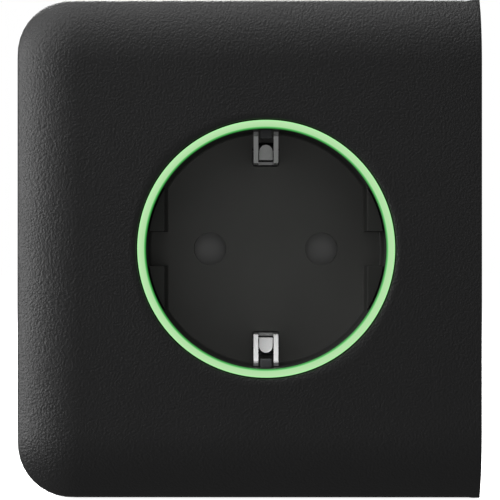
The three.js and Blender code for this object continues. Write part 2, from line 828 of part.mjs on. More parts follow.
function buildContacts() {
  place('shutter_rotor', shutterRotor(), finish.grey);
  place('shutter_spring', shutterSpring(), finish.steel);
  place('earth_bracket', earthBracket(), finish.steel);
  place('earth_tongue_top', earthTongue(), finish.steel);
  place('earth_tongue_bottom', earthTongue(), finish.steel).rotation.y = Math.PI;
  place('contact_carrier', contactCarrier(), finish.grey);
  for (const [name, x] of [['live', -well.pinX], ['neutral', well.pinX]]) {
    place(`${name}_contact`, contactBridge(), finish.brass).position.x = x;
    place(`${name}_leaf_a`, contactLeaf(), finish.brass).position.x = x;
    const mirrored = place(`${name}_leaf_b`, contactLeaf(), finish.brass);
    mirrored.position.x = x;
    mirrored.rotation.y = Math.PI;
  }
}

function buildElectronics() {
  place('rear_housing', rearHousing(), finish.grey);
  place('main_board', mainBoard(), finish.board);
  place('relay', box(...parts.relay), finish.black);
  place('transformer', box(...parts.transformer), finish.black);
  place('input_capacitor', rod('x', ...parts.inputCapacitor), finish.blue);
  place('output_capacitor', rod('x', ...parts.outputCapacitor), finish.blue);
  place('varistor', rod('x', ...parts.varistor), finish.blue);
  place('fuse', rod('y', ...parts.fuse), finish.white);
  place('radio_board', box(...parts.radioBoard), finish.board);
  place('radio_shield', radioShield(), finish.steel);
  place('ribbon_connector', ribbonConnector(), finish.white);
}

function buildTerminals() {
  place('live_busbar', boardBusbar(terminalX[0]), finish.brass);
  place('earth_busbar', earthBusbar(), finish.brass);
  place('neutral_busbar', boardBusbar(terminalX[2]), finish.brass);
  place('terminal_block', terminalBlock(), finish.black);
  terminalX.forEach((x, k) => {
    place(`terminal_cage_${k + 1}`, terminalCage(), finish.brass).position.x = x;
    place(`clamp_plate_${k + 1}`, clampPlate(), finish.steel).position.x = x;
    place(`terminal_screw_${k + 1}`, terminalScrew(), finish.steel).position.x = x;
  });
}

buildFront();
buildFrame();
buildContacts();
buildElectronics();
buildTerminals();

export default socket;
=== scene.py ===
"""A flush-mounted smart socket-outlet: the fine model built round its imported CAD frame.

Sizes are millimetres in the classes and metres in Blender. The plug's axis is Y, the wall's surface
is y = 0, the front faces -Y and +Z is up.
"""

import json
import logging
import math
from dataclasses import dataclass, field
from enum import Enum
from typing import Callable, Iterable, Sequence

import bmesh
import bpy
from mathutils import Matrix, Vector

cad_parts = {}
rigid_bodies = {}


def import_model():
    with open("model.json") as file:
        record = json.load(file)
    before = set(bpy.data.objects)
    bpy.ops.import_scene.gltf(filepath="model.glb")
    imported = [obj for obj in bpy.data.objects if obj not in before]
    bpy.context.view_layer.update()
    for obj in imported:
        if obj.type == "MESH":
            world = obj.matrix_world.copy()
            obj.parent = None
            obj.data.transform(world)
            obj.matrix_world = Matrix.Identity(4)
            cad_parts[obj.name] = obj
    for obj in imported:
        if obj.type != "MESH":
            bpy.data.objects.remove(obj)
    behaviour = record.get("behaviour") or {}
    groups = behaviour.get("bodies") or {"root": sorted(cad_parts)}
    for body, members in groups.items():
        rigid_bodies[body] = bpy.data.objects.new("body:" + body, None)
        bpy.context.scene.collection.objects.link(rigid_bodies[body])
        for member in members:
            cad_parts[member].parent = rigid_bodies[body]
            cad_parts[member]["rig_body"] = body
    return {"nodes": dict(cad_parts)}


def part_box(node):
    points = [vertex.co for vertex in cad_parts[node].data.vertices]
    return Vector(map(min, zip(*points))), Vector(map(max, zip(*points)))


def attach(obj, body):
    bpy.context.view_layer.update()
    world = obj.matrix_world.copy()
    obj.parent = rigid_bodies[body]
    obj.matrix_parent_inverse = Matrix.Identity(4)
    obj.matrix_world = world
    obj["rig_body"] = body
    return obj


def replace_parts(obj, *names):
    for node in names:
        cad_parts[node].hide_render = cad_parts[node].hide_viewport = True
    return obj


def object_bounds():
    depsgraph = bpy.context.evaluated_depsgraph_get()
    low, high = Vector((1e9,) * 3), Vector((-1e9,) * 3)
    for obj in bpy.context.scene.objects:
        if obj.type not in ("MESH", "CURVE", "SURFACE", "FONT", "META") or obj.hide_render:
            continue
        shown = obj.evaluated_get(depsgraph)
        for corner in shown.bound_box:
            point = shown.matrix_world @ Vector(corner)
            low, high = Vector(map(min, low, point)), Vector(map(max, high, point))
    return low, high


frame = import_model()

LOG = logging.getLogger("socket")
MM = 0.001
CAD_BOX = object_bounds()

MERGE = 1e-4  # corners closer than this become one
ON_EDGE = 0.01  # how near a corner has to be to count as lying on the outline
WHITE = (1.0, 1.0, 1.0, 1.0)

Point = tuple[float, float]
Point3 = tuple[float, float, float]
Colour = tuple[float, float, float]


class Axis(Enum):
    """The way a round piece points, as the turns about X and then Y that bring +Z there."""

    X = (0.0, math.pi / 2)
    Y = (-math.pi / 2, 0.0)
    Z = (0.0, 0.0)

    def matrix(self) -> Matrix:
        """The turn from +Z to this axis."""
        about_x, about_y = self.value
        return Matrix.Rotation(about_y, 4, "Y") @ Matrix.Rotation(about_x, 4, "X")


# ---------------------------------------------------------------- shader building


class Shader:
    """The nodes of one material or world."""

    def __init__(self, holder: bpy.types.Material | bpy.types.World) -> None:
        """Starts with no nodes."""
        self.holder = holder
        holder.use_nodes = True
        self.tree = holder.node_tree
        self.tree.nodes.clear()

    def node(self, kind: str, settings: dict | None = None,
             inputs: dict | None = None) -> bpy.types.Node:
        """Adds any node.

        Args:
            kind: The node's type, without the leading "ShaderNode".
            settings: The node's own settings, and "stops" for a ramp's (place, colour) pairs.
            inputs: Values, numbers, or sockets to link, by input name or number.

        Returns:
            The new node.
        """
        made = self.tree.nodes.new("ShaderNode" + kind)
        for name, value in (settings or {}).items():
            if name == "stops":
                self._set_stops(made.color_ramp, value)
            else:
                setattr(made, name, value)
        for name, value in (inputs or {}).items():
            if isinstance(value, Number):
                value = value.socket
            if isinstance(value, bpy.types.NodeSocket):
                self.tree.links.new(value, made.inputs[name])
            else:
                made.inputs[name].default_value = value
        return made

    @staticmethod
    def _set_stops(ramp: bpy.types.ColorRamp, stops: Sequence[tuple[float, Colour]]) -> None:
        """Gives a ramp its (place, colour) stops."""
        while len(ramp.elements) < len(stops):
            ramp.elements.new(1.0)
        for element, (place, colour) in zip(ramp.elements, stops):
            element.position = place
            element.color = (*colour, 1.0)

    def number(self, kind: str, output: str | int, settings: dict | None = None,
               inputs: dict | None = None) -> "Number":
        """Adds a node and wraps one of its outputs as a number."""
        return Number(self, self.node(kind, settings, inputs).outputs[output])

    def millimetres(self, stretch: Sequence[float] = (1.0, 1.0, 1.0)) -> bpy.types.NodeSocket:
        """The place on the piece, in millimetres times a stretch."""
        place = self.node("TexCoord").outputs["Object"]
        scale = [1.0 / MM * s for s in stretch]
        return self.node("VectorMath", {"operation": "MULTIPLY"}, {0: place, 1: scale}).outputs[0]

    def coordinates(self) -> tuple["Number", "Number", "Number"]:
        """The place on the piece as three numbers, in millimetres."""
        split = self.node("SeparateXYZ", None, {0: self.millimetres()})
        return tuple(Number(self, split.outputs[k]) for k in range(3))

    def noise(self, scale: float, detail: float = 2.0,
              stretch: Sequence[float] = (1.0, 1.0, 1.0)) -> "Number":
        """Smooth noise, from 0 to 1, with about scale bumps to the millimetre."""
        return self.number("TexNoise", "Fac", None,
                           {"Vector": self.millimetres(stretch), "Scale": scale, "Detail": detail})

    def blend(self, factor: "Number | float", first: object,
              second: object) -> bpy.types.NodeSocket:
        """A colour between two colours or colour sockets."""
        pair = [(*c, 1.0) if isinstance(c, tuple) else c for c in (first, second)]
        made = self.node("Mix", {"data_type": "RGBA"}, {"Factor": factor})
        for name, value in zip(("A", "B"), pair):
            socket = next(s for s in made.inputs if s.name == name and s.type == "RGBA")
            if isinstance(value, bpy.types.NodeSocket):
                self.tree.links.new(value, socket)
            else:
                socket.default_value = value
        return next(s for s in made.outputs if s.type == "RGBA")

    def bump(self, height: "Number", depth: float) -> bpy.types.NodeSocket:
        """A normal that makes height look like relief of that depth in millimetres."""
        return self.node("Bump", None, {"Distance": depth * MM, "Height": height}).outputs["Normal"]

    def surface(self, inputs: dict) -> bpy.types.Material:
        """Ends the material in a Principled shader with these inputs."""
        shader = self.node("BsdfPrincipled", None, inputs)
        self.node("OutputMaterial", None, {"Surface": shader.outputs[0]})
        return self.holder


@dataclass(frozen=True)
class Number:
    """A number socket; arithmetic on it adds Math nodes."""

    shader: Shader
    socket: bpy.types.NodeSocket

    def _maths(self, operation: str, *operands: object) -> "Number":
        """Adds one Math node."""
        return self.shader.number("Math", 0, {"operation": operation}, dict(enumerate(operands)))

    def __add__(self, other: object) -> "Number":
        """self + other."""
        return self._maths("ADD", self, other)

    __radd__ = __add__

    def __sub__(self, other: object) -> "Number":
        """self - other."""
        return self._maths("SUBTRACT", self, other)

    def __rsub__(self, other: object) -> "Number":
        """other - self."""
        return self._maths("SUBTRACT", other, self)

    def __mul__(self, other: object) -> "Number":
        """self * other."""
        return self._maths("MULTIPLY", self, other)

    __rmul__ = __mul__

    def __pow__(self, other: object) -> "Number":
        """self to a power."""
        return self._maths("POWER", self, other)

    def step(self, start: float, end: float) -> "Number":
        """0 before start, 1 after end, and smooth between them."""
        return self.shader.number("MapRange", 0, {"interpolation_type": "SMOOTHSTEP"},
                                  {"Value": self, "From Min": start, "From Max": end})


# ---------------------------------------------------------------- finishes


@dataclass(frozen=True)
class Plastic:
    """Moulded plastic with a slight cloudiness and, where grain is set, a fine leathery grain."""

    name: str
    colour: Colour
    roughness: float
    grain: float = 0.0  # depth of the grain
    cells: float = 1.6  # grain cells to the millimetre
    cloud: float = 0.08  # how much the colour wanders
    specular: float = 0.5
    smooth_grain: float = 0.004  # depth of the relief where no grain is set

    def make(self) -> bpy.types.Material:
        """Builds the material."""
        shader = Shader(bpy.data.materials.new(self.name))
        cloud = shader.noise(scale=0.12, detail=3.0)
        fine = shader.noise(scale=self.cells * 3.0)
        pebble = shader.number("TexVoronoi", "Distance", {"feature": "SMOOTH_F1"},
                               {"Vector": shader.millimetres(), "Scale": self.cells, "Smoothness": 0.7})
        light = tuple(min(1.0, c * (1 + self.cloud)) for c in self.colour)
        dark = tuple(c * (1 - self.cloud) for c in self.colour)
        relief = (1 - pebble) * 0.7 + fine * 0.3
        return shader.surface({
            "Base Color": shader.blend(cloud * 0.6 + fine * 0.4, dark, light),
            "Roughness": self.roughness - 0.03 + cloud * 0.06 + fine * 0.04,
            "Specular IOR Level": self.specular,
            "Normal": shader.bump(relief, self.grain or self.smooth_grain),
        })


@dataclass(frozen=True)
class Recessed:
    """The well's moulding: satin on its floor, and darker and duller towards its mouth; the lighter
    floor and the darker mouth are painted light and painted shade, set by depth.
    """

    name: str
    # the floor colour is lightened as painted light and the mouth colour darkened as painted shade
    floor: Colour
    mouth: Colour
    roughness: float
    floor_from: float = 7.4  # depth past which the lighter floor colour, painted light, is whole
    mouth_until: float = 0.0  # depth before which the mouth's painted shade is whole
    specular: float = 0.35
    relief: float = 0.006  # depth of the fine relief

    def make(self) -> bpy.types.Material:
        """Builds the material."""
        shader = Shader(bpy.data.materials.new(self.name))
        depth = shader.coordinates()[1]
        # painted light and shade by depth: 0 gives the mouth's dark colour, 1 the floor's light one
        deep = depth.step(self.mouth_until, self.floor_from)
        cloud = shader.noise(scale=0.15, detail=3.0)
        spark = shader.noise(scale=9.0, detail=1.0)
        painted_light_and_shade = shader.blend(deep, self.mouth, self.floor)
        shade = shader.blend(cloud * 0.10 + spark * 0.06, painted_light_and_shade, (0.0, 0.0, 0.0))
        return shader.surface({
            "Base Color": shade,
            "Roughness": self.roughness - 0.03 + cloud * 0.06 + spark * 0.04,
            "Specular IOR Level": self.specular,
            "Normal": shader.bump(spark, self.relief),
        })


@dataclass(frozen=True)
class Metal:
    """Sheet or turned metal with fine rolling lines and uneven plating."""

    name: str
    colour: Colour
    roughness: float
    lines: tuple[float, float, float] = (0.3, 6.0, 6.0)  # stretch of the rolling lines
    stain: float = 0.12  # how much darker the plating's patches are
    relief: float = 0.003  # depth of the lines

    def make(self) -> bpy.types.Material:
        """Builds the material."""
        shader = Shader(bpy.data.materials.new(self.name))
        lines = shader.noise(scale=1.5, detail=3.0, stretch=self.lines)
        patches = shader.noise(scale=0.5, detail=4.0)
        dark = tuple(c * (1 - self.stain) for c in self.colour)
        return shader.surface({
            "Base Color": shader.blend(patches * 0.7 + lines * 0.3, dark, self.colour),
            "Metallic": 1.0,
            "Roughness": self.roughness - 0.06 + patches * 0.08 + lines * 0.06,
            "Normal": shader.bump(lines, self.relief),
        })


@dataclass(frozen=True)
class Plating:
    """Zinc plating with the soft spangle of dipped or rolled strip."""

    name: str
    colour: Colour
    roughness: float
    flakes: float = 0.35  # spangles to the millimetre
    stain: float = 0.22  # how much darker the dark spangles are
    relief: float = 0.004  # depth of the fine relief

    def make(self) -> bpy.types.Material:
        """Builds the material."""
        shader = Shader(bpy.data.materials.new(self.name))
        spangle = shader.number("TexVoronoi", "Color", {"feature": "F1"},
                                {"Vector": shader.millimetres(), "Scale": self.flakes})
        fine = shader.noise(scale=5.0, detail=3.0, stretch=(1.0, 1.0, 0.25))
        dark = tuple(c * (1 - self.stain) for c in self.colour)
        return shader.surface({
            "Base Color": shader.blend(spangle * 0.6 + fine * 0.4, dark, self.colour),
            "Metallic": 1.0,
            "Roughness": self.roughness + spangle * 0.10 + fine * 0.05,
            "Normal": shader.bump(fine, self.relief),
        })


@dataclass(frozen=True)
class Glow:
    """The lit light guide: bright on its face, deeper green on its chamfer, dark on its bore."""

    name: str
    bore: float
    outer: float
    chamfer_end: float  # y where the chamfer meets the bore
    bore_colour: Colour = (0.010, 0.011, 0.010)
    face_colour: Colour = (0.05, 0.09, 0.05)

    def make(self) -> bpy.types.Material:
        """Builds the material."""
        shader = Shader(bpy.data.materials.new(self.name))
        x, y, z = shader.coordinates()
        radius = (x * x + z * z) ** 0.5
        across = radius.step(self.bore, self.outer)
        ramp = shader.node("ValToRGB", {"stops": [
            (0.00, (0.004, 0.050, 0.006)),
            (0.07, (0.020, 0.240, 0.035)),
            (0.18, (0.110, 0.520, 0.130)),
            (0.26, (0.390, 0.700, 0.340)),
            (0.55, (0.430, 0.705, 0.365)),
            (0.84, (0.450, 0.730, 0.390)),
            (0.92, (0.400, 0.830, 0.370)),
            (1.00, (0.330, 0.820, 0.300)),
        ]}, {0: (radius - self.bore) * (1.0 / (self.outer - self.bore))})
        lit = 1 - y.step(self.chamfer_end - 0.02, self.chamfer_end + 0.10)
        cloudy = shader.noise(scale=0.6)
        return shader.surface({
            "Base Color": shader.blend(lit * (0.75 + across * 0.25), self.bore_colour, self.face_colour),
            "Roughness": 0.38 + cloudy * 0.08,
            "Emission Color": shader.blend(lit, (0.0, 0.0, 0.0), ramp.outputs["Color"]),
            "Emission Strength": 1.0,
        })


@dataclass(frozen=True)
class Mask:
    """Solder mask over copper tracks, which lie on a square grid and show as slightly raised lines."""

    name: str
    colour: Colour
    track: Colour
    pitch: float = 1.9  # distance between the tracks
    relief: float = 0.03  # how far they are raised

    def make(self) -> bpy.types.Material:
        """Builds the material."""
        shader = Shader(bpy.data.materials.new(self.name))
        wander = shader.noise(scale=0.25, detail=0.0)
        face = shader.node("VectorRotate", {"rotation_type": "X_AXIS"},
                           {"Vector": shader.millimetres(), "Angle": -math.pi / 2})
        bricks = shader.number("TexBrick", "Fac", {"offset": 0.5, "squash": 1.4}, {
            "Vector": face.outputs[0], "Scale": 1.0 / self.pitch, "Mortar Size": 0.07,
            "Mortar Smooth": 0.2, "Brick Width": 1.7, "Row Height": 0.62,
        })
        track = bricks * wander.step(0.42, 0.5)
        return shader.surface({
            "Base Color": shader.blend(track, self.colour, self.track),
            "Roughness": 0.32 + wander * 0.1,
            "Normal": shader.bump(track, self.relief),
        })


class Finishes:
    """Every finish on the socket, made once and kept by name."""

    def __init__(self) -> None:
        """Makes all the materials."""
        plan = [
            Plastic("cover_black", (0.0125, 0.0125, 0.0128), 0.47, grain=0.100, cells=2.8,
                    specular=0.42),
            # the well's lighter floor colour is painted light and its dark mouth colour is painted shade
            Recessed("well_black", (0.220, 0.220, 0.211), (0.024, 0.024, 0.0225), 0.46),
            Plastic("shutter_grey", (0.460, 0.460, 0.456), 0.42, specular=0.4),
            Plastic("housing_grey", (0.085, 0.088, 0.092), 0.50, grain=0.018, cells=2.2),
            Plastic("insulator_grey", (0.16, 0.165, 0.17), 0.55),
            Plastic("terminal_grey", (0.050, 0.052, 0.054), 0.45),
            Plastic("component_black", (0.018, 0.018, 0.020), 0.38),
            Plastic("component_blue", (0.020, 0.075, 0.26), 0.28),
            Plastic("component_white", (0.66, 0.66, 0.62), 0.42, cloud=0.03),
            Metal("contact_steel", (0.86, 0.86, 0.86), 0.50, lines=(8.0, 0.6, 0.6)),
            Metal("screw_steel", (0.62, 0.63, 0.65), 0.28, lines=(3.0, 3.0, 3.0)),
            Metal("contact_brass", (0.72, 0.53, 0.24), 0.27, lines=(0.5, 5.0, 5.0), stain=0.2),
            Plastic("led_phosphor", (0.62, 0.50, 0.06), 0.30, cloud=0.05),
            Metal("shield_metal", (0.66, 0.66, 0.67), 0.30),
            Plating("strap_steel", (0.60, 0.615, 0.64), 0.30),
            Mask("circuit_board", (0.012, 0.105, 0.040), (0.030, 0.200, 0.075)),
            Mask("led_board_white", (0.70, 0.70, 0.67), (0.60, 0.60, 0.56)),
            Glow("light_guide", bore=19.5, outer=20.9, chamfer_end=-9.9),
        ]
        self.materials = {finish.name: finish.make() for finish in plan}

    def dress(self, piece: bpy.types.Object, name: str, slot: str = "") -> None:
        """Gives a piece one finish.

        Args:
            piece: The piece.
            name: The finish.
            slot: The record's slot, where its name isn't the finish's; not used.
        """
        piece.data.materials.clear()
        piece.data.materials.append(self.materials[name])


# ---------------------------------------------------------------- modelling


class Work:
    """A bmesh being modelled in millimetres, with the steps that the socket's pieces share."""

    def __init__(self) -> None:
        """Starts empty."""
        self.bm = bmesh.new()

    def box(self, low: Sequence[float], high: Sequence[float], round_by: float = 0.0) -> "Work":
        """Adds a box between two corners, with rounded edges where round_by is set."""
        middle = [(a + b) / 2 for a, b in zip(low, high)]
        size = [b - a for a, b in zip(low, high)]
        place = Matrix.Translation(middle) @ Matrix.Diagonal((*size, 1.0))
        made = bmesh.ops.create_cube(self.bm, size=1.0, matrix=place)
        if round_by:
            edges = {e for v in made["verts"] for e in v.link_edges}
            self.bevel(edges, round_by)
        return self

    def spun(self, profile: Sequence[Point], axis: Axis, at: Sequence[float],
             steps: int = 32) -> "Work":
        """Adds a (radius, height) profile turned about an axis through a point.

        Args:
            profile: Points of the outline; it is closed, or starts and ends on the axis.
            axis: The way the heights run.
            at: A point that height 0 is level with.
            steps: How many sides the turned shape has.
        """
        place = Matrix.Translation(at) @ axis.matrix()
        corners = [self.bm.verts.new(place @ Vector((r, 0.0, h))) for r, h in profile]
        on_axis = profile[0][0] == 0.0 and profile[-1][0] == 0.0
        pairs = zip(corners, corners[1:] if on_axis else corners[1:] + corners[:1])
        edges = [self.bm.edges.new(pair) for pair in pairs]
        bmesh.ops.spin(
            self.bm, geom=corners + edges, cent=at, axis=place.to_3x3() @ Vector((0, 0, 1)),
            angle=2 * math.pi, steps=steps, use_merge=True)
        bmesh.ops.remove_doubles(self.bm, verts=self.bm.verts[:], dist=MERGE)
        bmesh.ops.recalc_face_normals(self.bm, faces=self.bm.faces[:])
        return self

    def belt(self, reach: Callable[[float], float], profile: Sequence[Point],
             steps: int = 144) -> "Work":
        """Sweeps a closed profile round an outline about the plug's axis.

        Args:
            reach: The outline's distance from the axis at an angle.
            profile: How far each corner stands off the outline, and its y.
            steps: How many parts the outline is split into.
        """
        made = bmesh.ops.create_circle(
            self.bm, segments=steps, radius=1.0, matrix=Axis.Y.matrix())["verts"]
        edges = list(dict.fromkeys(e for v in made for e in v.link_edges))
        for number, (stand, y) in enumerate((*profile, profile[0])):
            if number:
                grown = bmesh.ops.extrude_edge_only(self.bm, edges=edges)["geom"]
                made = [g for g in grown if isinstance(g, bmesh.types.BMVert)]
                edges = [g for g in grown
                         if isinstance(g, bmesh.types.BMEdge) and len(g.link_faces) == 1]
            for v in made:
                angle = math.atan2(v.co.z, v.co.x)
                radius = reach(angle) + stand
                v.co = (radius * math.cos(angle), y, radius * math.sin(angle))
        bmesh.ops.remove_doubles(self.bm, verts=self.bm.verts[:], dist=MERGE)
        bmesh.ops.recalc_face_normals(self.bm, faces=self.bm.faces[:])
        return self

    def thread(self, axis: Axis, at: Sequence[float], start: float, end: float, radius: float,
               depth: float, pitch: float, steps: int = 24) -> "Work":
        """Adds a screw thread that winds round a core.

        Args:
            axis: The way the thread runs.
            at: A point that height 0 is level with.
            start: The height where it starts.
            end: The height where it ends, or a little before.
            radius: The thread's outer radius.
            depth: How deep its grooves are.
            pitch: The height of one turn.
            steps: How many sides a turn has.
        """
        root = radius - depth
        flank, crest, crest_end = 0.2, 0.5, 0.65  # shares of the pitch
        profile = []
        for turn in range(int((end - start) / pitch)):
            base = start + turn * pitch
            profile += [(root, base), (root, base + flank * pitch), (radius, base + crest * pitch),
                        (radius, base + crest_end * pitch)]
        profile.append((root, profile[-1][1] + (1 - crest_end) * pitch))
        place = Matrix.Translation(at) @ axis.matrix()
        along = place.to_3x3() @ Vector((0, 0, 1))
        corners = [self.bm.verts.new(place @ Vector((r, 0.0, h))) for r, h in profile]
        edges = [self.bm.edges.new(pair) for pair in zip(corners, corners[1:])]
        bmesh.ops.spin(self.bm, geom=corners + edges, cent=at, axis=along, angle=2 * math.pi,
                       steps=steps, dvec=along * pitch / steps)
        bmesh.ops.remove_doubles(self.bm, verts=self.bm.verts[:], dist=MERGE)
        rims = [e for e in self.bm.edges if len(e.link_faces) == 1]
        bmesh.ops.holes_fill(self.bm, edges=rims, sides=0)
        bmesh.ops.recalc_face_normals(self.bm, faces=self.bm.faces[:])
        return self

    def repeat_round(self, degrees: float, count: int) -> "Work":
        """Copies everything made so far round the plug's axis, count times over an angle."""
        everything = self.bm.verts[:] + self.bm.edges[:] + self.bm.faces[:]
        bmesh.ops.spin(self.bm, geom=everything, cent=(0, 0, 0), axis=(0, 1, 0),
                       angle=math.radians(degrees), steps=count, use_duplicate=True)
        return self

    def bevel(self, edges: Iterable[bmesh.types.BMEdge], width: float, segments: int = 3) -> "Work":
        """Rounds edges."""
        bmesh.ops.bevel(
            self.bm, geom=list(dict.fromkeys(edges)), offset=width, offset_type="OFFSET",
            affect="EDGES", segments=segments, profile=0.5, material=-1, clamp_overlap=True)
        return self

    def move(self, matrix: Matrix) -> "Work":
        """Moves everything made so far."""
        bmesh.ops.transform(self.bm, matrix=matrix, verts=self.bm.verts[:])
        return self

    def piece(self, name: str) -> bpy.types.Object:
        """Ends the modelling.

        Args:
            name: The new object's name.

        Returns:
            The object, at the origin, with its place in its mesh, in metres.
        """
        self.move(Matrix.Scale(MM, 4))
        made = as_object(self.bm, name)
        smooth(made)
        return made


def as_object(bm: bmesh.types.BMesh, name: str) -> bpy.types.Object:
    """Ends a bmesh, in metres, as an object at the origin."""
    mesh = bpy.data.meshes.new(name)
    bm.to_mesh(mesh)
    bm.free()
    made = bpy.data.objects.new(name, mesh)
    bpy.context.scene.collection.objects.link(made)
    return made


def smooth(piece: bpy.types.Object, degrees: float = 32.0) -> None:
    """Shades a piece smooth, with hard edges where it turns sharply."""
    piece.data.shade_smooth()
    piece.data.set_sharp_from_angle(angle=math.radians(degrees))


def soften(piece: bpy.types.Object, width: float, degrees: float = 35.0) -> None:
    """Rounds every edge that turns more than an angle, by a width in millimetres."""
    rounding = piece.modifiers.new("rounded_edges", "BEVEL")
    rounding.width = width * MM
    rounding.segments = 2
    rounding.limit_method = "ANGLE"
    rounding.angle_limit = math.radians(degrees)
    rounding.use_clamp_overlap = True
    rounding.harden_normals = False
    shading = piece.modifiers.new("even_shading", "WEIGHTED_NORMAL")
    shading.keep_sharp = True


def carve(piece: bpy.types.Object, cutter: Work) -> None:
    """Takes the cutter's shape out of a piece and bakes the result into its mesh."""
    tool = cutter.piece(piece.name + "_cutter")
    cut = piece.modifiers.new("cut", "BOOLEAN")
    cut.object = tool
    cut.operation = "DIFFERENCE"
    cut.solver = "EXACT"
    evaluated = piece.evaluated_get(bpy.context.evaluated_depsgraph_get())
    result = bpy.data.meshes.new_from_object(evaluated)
    piece.modifiers.clear()
    old, piece.data = piece.data, result
    bpy.data.meshes.remove(old)
    bpy.data.objects.remove(tool)
    smooth(piece)


def refined(node: str, name: str, width: float) -> bpy.types.Object:
    """A smooth copy of a CAD node with rounded edges, standing for that node.

    Args:
        node: The CAD node.
        name: The new piece's name.
        width: How far its sharp edges are rounded, in millimetres.

    Returns:
        The new piece, riding on the node's body.
    """
    same_corner = 0.004  # millimetres
    same_plane = 1.0  # degrees
    source = frame["nodes"][node]
    bm = bmesh.new()
    bm.from_mesh(source.data)
    bmesh.ops.remove_doubles(bm, verts=bm.verts[:], dist=same_corner * MM)
    bmesh.ops.dissolve_limit(bm, angle_limit=math.radians(same_plane), verts=bm.verts[:],
                             edges=bm.edges[:], use_dissolve_boundaries=False)
    piece = as_object(bm, name)
    smooth(piece)
    soften(piece, width)
    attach(piece, source["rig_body"])
    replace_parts(piece, node)
    return piece


@dataclass
class Part:
    """A sub-assembly, which dresses its pieces and says what they ride on."""

    finishes: Finishes

    def add(self, work: Work, name: str, finish: str, body: str = "base",
            slot: str = "") -> bpy.types.Object:
        """Ends a piece's modelling, dresses it and makes it ride on a body.

        Args:
            work: The piece's shape.
            name: Its name.
            finish: Its finish.
            body: The body it rides on.
            slot: The record's slot, where its name isn't the finish's; passed on but not used.

        Returns:
            The piece.
        """
        piece = work.piece(name)
        self.finishes.dress(piece, finish, slot)
        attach(piece, body)
        return piece


# ---------------------------------------------------------------- the cover


